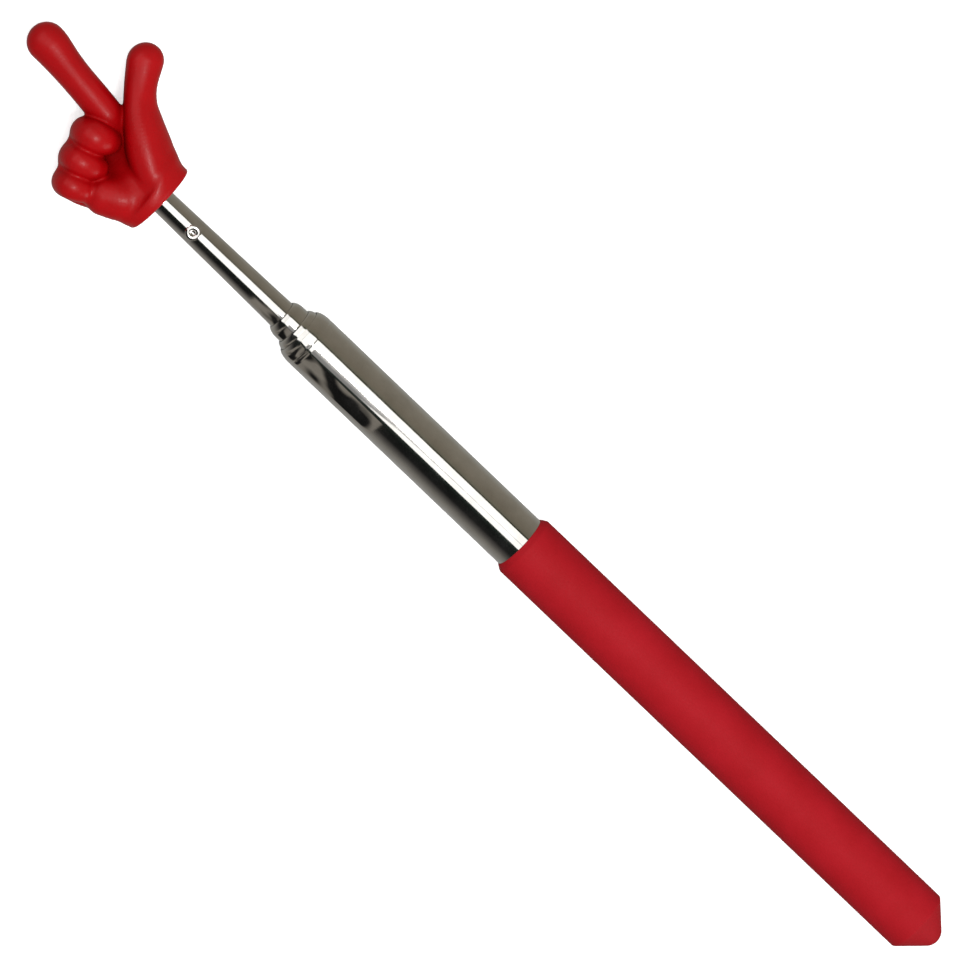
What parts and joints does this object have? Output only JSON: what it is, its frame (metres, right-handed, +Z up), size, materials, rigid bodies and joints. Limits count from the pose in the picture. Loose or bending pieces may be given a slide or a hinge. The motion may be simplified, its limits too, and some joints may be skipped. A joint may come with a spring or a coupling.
{
  "type": "telescopic hand pointer",
  "caption": "Telescopic pointer stick with a soft pointing hand on nested chrome tubes and a closed soft grip sleeve.",
  "frame": {"origin": "on the surface that the pointer lies on, below the middle of its closed length and of the hand's width", "axes": "+X along the stick towards the pointing finger, +Y towards the curled fingers' side, +Z up, towards the palm side"},
  "size_m": [0.19, 0.0256, 0.0101],
  "materials": {
    "hand": "semi-gloss soft moulding",
    "grip": "matt dipped vinyl",
    "tubes": "polished chrome plating",
    "bushes": "turned brass",
    "springs": "rolled phosphor bronze strip",
    "core_pin": "turned steel",
    "plug": "moulded plastic"
  },
  "bodies": {
    "handle": {"grip": "grip", "outer_tube": "tubes", "end_plug": "plug"},
    "middle_springs": {"middle_spring_upper": "springs", "middle_spring_lower": "springs"},
    "middle_section": {"middle_tube": "tubes", "middle_end_bush": "bushes"},
    "inner_springs": {"inner_spring_upper": "springs", "inner_spring_lower": "springs"},
    "inner_section": {"inner_tube": "tubes", "inner_end_bush": "bushes"},
    "tip_springs": {"tip_spring_upper": "springs", "tip_spring_lower": "springs"},
    "tip_section": {"tip_tube": "tubes", "tip_end_bush": "bushes", "tip_rivet": "tubes", "hand_core_pin": "core_pin", "hand": "hand"}
  },
  "joints": [
    {"name": "middle_slide", "type": "slide", "parent": "handle", "child": "middle_springs", "axis": [1, 0, 0], "range_m": [0, 0.107]},
    {"name": "middle_turn", "type": "hinge", "parent": "middle_springs", "child": "middle_section", "pos_m": [-0.0755, 0.00299, 0.00506], "axis": [1, 0, 0], "continuous": true},
    {"name": "inner_slide", "type": "slide", "parent": "middle_section", "child": "inner_springs", "axis": [1, 0, 0], "range_m": [0, 0.1]},
    {"name": "inner_turn", "type": "hinge", "parent": "inner_springs", "child": "inner_section", "pos_m": [-0.066, 0.00299, 0.00506], "axis": [1, 0, 0], "continuous": true},
    {"name": "tip_slide", "type": "slide", "parent": "inner_section", "child": "tip_springs", "axis": [1, 0, 0], "range_m": [0, 0.093]},
    {"name": "tip_turn", "type": "hinge", "parent": "tip_springs", "child": "tip_section", "pos_m": [-0.057, 0.00299, 0.00506], "axis": [1, 0, 0], "continuous": true}
  ]
}
